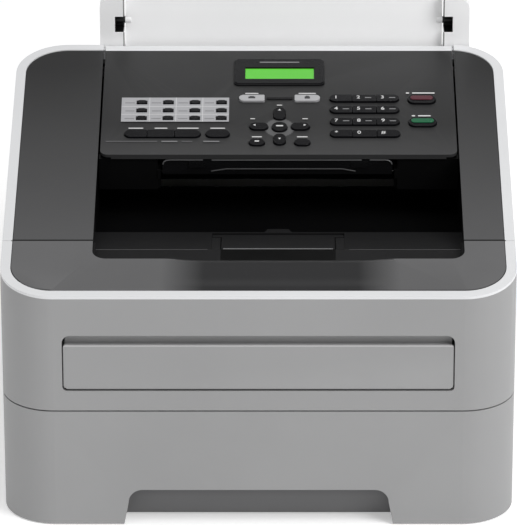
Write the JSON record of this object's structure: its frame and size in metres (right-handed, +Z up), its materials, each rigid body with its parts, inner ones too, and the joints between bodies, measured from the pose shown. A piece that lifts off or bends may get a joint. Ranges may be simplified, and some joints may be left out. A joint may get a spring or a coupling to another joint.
{
  "type": "fax machine",
  "caption": "Desktop laser fax machine with a front paper tray, sloping top with output recess, hinged control panel with display and keys, and a document support at the back.",
  "frame": {"origin": "On the floor under the middle of the bounding box.", "axes": "+X to the right seen from the front, +Y to the back, +Z up. The front face looks along -Y."},
  "size_m": [0.368, 0.36, 0.311],
  "materials": {
    "grey_shell": "satin",
    "white_shell": "satin",
    "dark_shell": "satin",
    "panel_shell": "satin",
    "black_plastic": "matte",
    "key_black": "semi-gloss",
    "key_grey": "satin",
    "key_stop": "semi-gloss",
    "key_start": "semi-gloss",
    "lcd_bezel": "gloss",
    "lcd_window": "lit",
    "rubber": "matte",
    "chassis": "matte",
    "roller": "matte",
    "fuser_steel": "brushed",
    "lift_steel": "brushed",
    "guide_green": "satin",
    "drum_black": "satin",
    "toner_black": "satin",
    "laser_grey": "satin",
    "board": "matte"
  },
  "bodies": {
    "machine": {"base_frame": "chassis", "feet": "rubber", "side_cover_left": "grey_shell", "side_cover_right": "grey_shell", "top_rim": "white_shell", "top_cover": "dark_shell", "output_tray": "black_plastic", "laser_unit": "laser_grey", "main_board": "board", "power_supply": "board", "scanner_base": "black_plastic", "document_tray": "white_shell"},
    "front_door": {"front_cover": "grey_shell", "front_rim": "white_shell", "front_lip": "dark_shell"},
    "feed_flap": {"manual_feed_flap": "grey_shell"},
    "tray": {"paper_tray": "grey_shell"},
    "lift": {"lift_plate": "lift_steel"},
    "guide_left": {"side_guide_left": "guide_green"},
    "guide_right": {"side_guide_right": "guide_green"},
    "pickup": {"pickup_roller": "roller"},
    "fuser": {"fuser_roller": "fuser_steel"},
    "doc_roller": {"document_roller": "roller"},
    "drum": {"drum_unit": "drum_black"},
    "toner": {"toner_cartridge": "toner_black"},
    "back_door": {"rear_cover": "white_shell"},
    "panel": {"control_panel": "panel_shell", "lcd_bezel": "lcd_bezel", "lcd_window": "lcd_window"},
    "doc_flap": {"document_output_flap": "black_plastic"},
    "page_flap": {"output_flap": "black_plastic"},
    "doc_support": {"document_support": "white_shell"},
    "dial_1_body": {"dial_1": "key_black"},
    "dial_2_body": {"dial_2": "key_black"},
    "dial_3_body": {"dial_3": "key_black"},
    "dial_4_body": {"dial_4": "key_black"},
    "dial_5_body": {"dial_5": "key_black"},
    "dial_6_body": {"dial_6": "key_black"},
    "dial_7_body": {"dial_7": "key_black"},
    "dial_8_body": {"dial_8": "key_black"},
    "dial_9_body": {"dial_9": "key_black"},
    "dial_star_body": {"dial_star": "key_black"},
    "dial_0_body": {"dial_0": "key_black"},
    "dial_hash_body": {"dial_hash": "key_black"},
    "key_stop_body": {"key_stop": "key_stop"},
    "key_start_body": {"key_start": "key_start"},
    "mode_fax_body": {"mode_fax": "key_grey"},
    "mode_copy_body": {"mode_copy": "key_grey"},
    "nav_up_body": {"nav_up": "key_black"},
    "nav_down_body": {"nav_down": "key_black"},
    "nav_left_body": {"nav_left": "key_black"},
    "nav_right_body": {"nav_right": "key_black"},
    "key_ok_body": {"key_ok": "key_black"},
    "key_clear_body": {"key_clear": "key_black"},
    "key_menu_body": {"key_menu": "key_black"},
    "key_hook_body": {"key_hook": "key_black"},
    "key_redial_body": {"key_redial": "key_black"},
    "key_resolution_body": {"key_resolution": "key_black"},
    "key_options_body": {"key_options": "key_black"},
    "one_touch_keys_body": {"one_touch_keys": "key_black"}
  },
  "joints": [
    {"name": "front_door_hinge", "type": "hinge", "parent": "machine", "child": "front_door", "pos_m": [0, -0.1783, 0.0935], "axis": [1, 0, 0], "range_deg": [0, 85]},
    {"name": "feed_flap_hinge", "type": "hinge", "parent": "front_door", "child": "feed_flap", "pos_m": [0, -0.178, 0.1095], "axis": [1, 0, 0], "range_deg": [0, 80]},
    {"name": "tray_slide", "type": "slide", "parent": "machine", "child": "tray", "axis": [0, 1, 0], "range_m": [-0.22, 0]},
    {"name": "lift_hinge", "type": "hinge", "parent": "tray", "child": "lift", "pos_m": [0, 0.018, 0.0102], "axis": [-1, 0, 0], "range_deg": [0, 10]},
    {"name": "guide_left_slide", "type": "slide", "parent": "tray", "child": "guide_left", "axis": [1, 0, 0], "range_m": [0, 0.034]},
    {"name": "guide_right_slide", "type": "slide", "parent": "tray", "child": "guide_right", "axis": [1, 0, 0], "range_m": [-0.034, 0]},
    {"name": "panel_hinge", "type": "hinge", "parent": "machine", "child": "panel", "pos_m": [0.01435, 0.15386, 0.23383], "axis": [-1, 0, 0], "range_deg": [0, 45]},
    {"name": "doc_support_hinge", "type": "hinge", "parent": "machine", "child": "doc_support", "pos_m": [0.018, 0.1682, 0.253], "axis": [-1, 0, 0], "range_deg": [0, 18]},
    {"name": "doc_flap_hinge", "type": "hinge", "parent": "machine", "child": "doc_flap", "pos_m": [0.013, 0.00974, 0.19592], "axis": [1, 0, 0], "range_deg": [0, 75]},
    {"name": "page_flap_hinge", "type": "hinge", "parent": "machine", "child": "page_flap", "pos_m": [0.014, -0.065, 0.17495], "axis": [-1, 0, 0], "range_deg": [0, 50]},
    {"name": "back_door_hinge", "type": "hinge", "parent": "machine", "child": "back_door", "pos_m": [0, 0.1547, 0.067], "axis": [-1, 0, 0], "range_deg": [0, 80]},
    {"name": "drum_slide", "type": "slide", "parent": "machine", "child": "drum", "axis": [0, -1, 0], "range_m": [0, 0.045]},
    {"name": "toner_slide", "type": "slide", "parent": "drum", "child": "toner", "axis": [0, -1, 0], "range_m": [0, 0.01]},
    {"name": "pickup_spin", "type": "hinge", "parent": "machine", "child": "pickup", "pos_m": [0, -0.096, 0.0695], "axis": [1, 0, 0], "continuous": true},
    {"name": "fuser_spin", "type": "hinge", "parent": "machine", "child": "fuser", "pos_m": [0, 0.105, 0.1], "axis": [1, 0, 0], "continuous": true},
    {"name": "doc_roller_spin", "type": "hinge", "parent": "machine", "child": "doc_roller", "pos_m": [0.015, 0.08146, 0.206], "axis": [1, 0, 0], "continuous": true},
    {"name": "dial_1_press", "type": "slide", "parent": "panel", "child": "dial_1_body", "axis": [0, -0.165, 0.9863], "range_m": [-0.0012, 0], "stiffness_N_per_m": 400, "springref_m": 0.0008},
    {"name": "dial_2_press", "type": "slide", "parent": "panel", "child": "dial_2_body", "axis": [0, -0.165, 0.9863], "range_m": [-0.0012, 0], "stiffness_N_per_m": 400, "springref_m": 0.0008},
    {"name": "dial_3_press", "type": "slide", "parent": "panel", "child": "dial_3_body", "axis": [0, -0.165, 0.9863], "range_m": [-0.0012, 0], "stiffness_N_per_m": 400, "springref_m": 0.0008},
    {"name": "dial_4_press", "type": "slide", "parent": "panel", "child": "dial_4_body", "axis": [0, -0.165, 0.9863], "range_m": [-0.0012, 0], "stiffness_N_per_m": 400, "springref_m": 0.0008},
    {"name": "dial_5_press", "type": "slide", "parent": "panel", "child": "dial_5_body", "axis": [0, -0.165, 0.9863], "range_m": [-0.0012, 0], "stiffness_N_per_m": 400, "springref_m": 0.0008},
    {"name": "dial_6_press", "type": "slide", "parent": "panel", "child": "dial_6_body", "axis": [0, -0.165, 0.9863], "range_m": [-0.0012, 0], "stiffness_N_per_m": 400, "springref_m": 0.0008},
    {"name": "dial_7_press", "type": "slide", "parent": "panel", "child": "dial_7_body", "axis": [0, -0.165, 0.9863], "range_m": [-0.0012, 0], "stiffness_N_per_m": 400, "springref_m": 0.0008},
    {"name": "dial_8_press", "type": "slide", "parent": "panel", "child": "dial_8_body", "axis": [0, -0.165, 0.9863], "range_m": [-0.0012, 0], "stiffness_N_per_m": 400, "springref_m": 0.0008},
    {"name": "dial_9_press", "type": "slide", "parent": "panel", "child": "dial_9_body", "axis": [0, -0.165, 0.9863], "range_m": [-0.0012, 0], "stiffness_N_per_m": 400, "springref_m": 0.0008},
    {"name": "dial_star_press", "type": "slide", "parent": "panel", "child": "dial_star_body", "axis": [0, -0.165, 0.9863], "range_m": [-0.0012, 0], "stiffness_N_per_m": 400, "springref_m": 0.0008},
    {"name": "dial_0_press", "type": "slide", "parent": "panel", "child": "dial_0_body", "axis": [0, -0.165, 0.9863], "range_m": [-0.0012, 0], "stiffness_N_per_m": 400, "springref_m": 0.0008},
    {"name": "dial_hash_press", "type": "slide", "parent": "panel", "child": "dial_hash_body", "axis": [0, -0.165, 0.9863], "range_m": [-0.0012, 0], "stiffness_N_per_m": 400, "springref_m": 0.0008},
    {"name": "key_stop_press", "type": "slide", "parent": "panel", "child": "key_stop_body", "axis": [0, -0.165, 0.9863], "range_m": [-0.0012, 0], "stiffness_N_per_m": 400, "springref_m": 0.0008},
    {"name": "key_start_press", "type": "slide", "parent": "panel", "child": "key_start_body", "axis": [0, -0.165, 0.9863], "range_m": [-0.0012, 0], "stiffness_N_per_m": 400, "springref_m": 0.0008},
    {"name": "mode_fax_press", "type": "slide", "parent": "panel", "child": "mode_fax_body", "axis": [0, -0.165, 0.9863], "range_m": [-0.0012, 0], "stiffness_N_per_m": 400, "springref_m": 0.0008},
    {"name": "mode_copy_press", "type": "slide", "parent": "panel", "child": "mode_copy_body", "axis": [0, -0.165, 0.9863], "range_m": [-0.0012, 0], "stiffness_N_per_m": 400, "springref_m": 0.0008},
    {"name": "nav_up_press", "type": "slide", "parent": "panel", "child": "nav_up_body", "axis": [0, -0.165, 0.9863], "range_m": [-0.0012, 0], "stiffness_N_per_m": 400, "springref_m": 0.0008},
    {"name": "nav_down_press", "type": "slide", "parent": "panel", "child": "nav_down_body", "axis": [0, -0.165, 0.9863], "range_m": [-0.0012, 0], "stiffness_N_per_m": 400, "springref_m": 0.0008},
    {"name": "nav_left_press", "type": "slide", "parent": "panel", "child": "nav_left_body", "axis": [0, -0.165, 0.9863], "range_m": [-0.0012, 0], "stiffness_N_per_m": 400, "springref_m": 0.0008},
    {"name": "nav_right_press", "type": "slide", "parent": "panel", "child": "nav_right_body", "axis": [0, -0.165, 0.9863], "range_m": [-0.0012, 0], "stiffness_N_per_m": 400, "springref_m": 0.0008},
    {"name": "key_ok_press", "type": "slide", "parent": "panel", "child": "key_ok_body", "axis": [0, -0.165, 0.9863], "range_m": [-0.0012, 0], "stiffness_N_per_m": 400, "springref_m": 0.0008},
    {"name": "key_clear_press", "type": "slide", "parent": "panel", "child": "key_clear_body", "axis": [0, -0.165, 0.9863], "range_m": [-0.0012, 0], "stiffness_N_per_m": 400, "springref_m": 0.0008},
    {"name": "key_menu_press", "type": "slide", "parent": "panel", "child": "key_menu_body", "axis": [0, -0.165, 0.9863], "range_m": [-0.0012, 0], "stiffness_N_per_m": 400, "springref_m": 0.0008},
    {"name": "key_hook_press", "type": "slide", "parent": "panel", "child": "key_hook_body", "axis": [0, -0.165, 0.9863], "range_m": [-0.0012, 0], "stiffness_N_per_m": 400, "springref_m": 0.0008},
    {"name": "key_redial_press", "type": "slide", "parent": "panel", "child": "key_redial_body", "axis": [0, -0.165, 0.9863], "range_m": [-0.0012, 0], "stiffness_N_per_m": 400, "springref_m": 0.0008},
    {"name": "key_resolution_press", "type": "slide", "parent": "panel", "child": "key_resolution_body", "axis": [0, -0.165, 0.9863], "range_m": [-0.0012, 0], "stiffness_N_per_m": 400, "springref_m": 0.0008},
    {"name": "key_options_press", "type": "slide", "parent": "panel", "child": "key_options_body", "axis": [0, -0.165, 0.9863], "range_m": [-0.0012, 0], "stiffness_N_per_m": 400, "springref_m": 0.0008},
    {"name": "one_touch_keys_press", "type": "slide", "parent": "panel", "child": "one_touch_keys_body", "axis": [0, -0.165, 0.9863], "range_m": [-0.0012, 0], "stiffness_N_per_m": 400, "springref_m": 0.0008}
  ],
  "couplings": [
    {"joint": "guide_right_slide", "follows": "guide_left_slide", "ratio": -1}
  ]
}
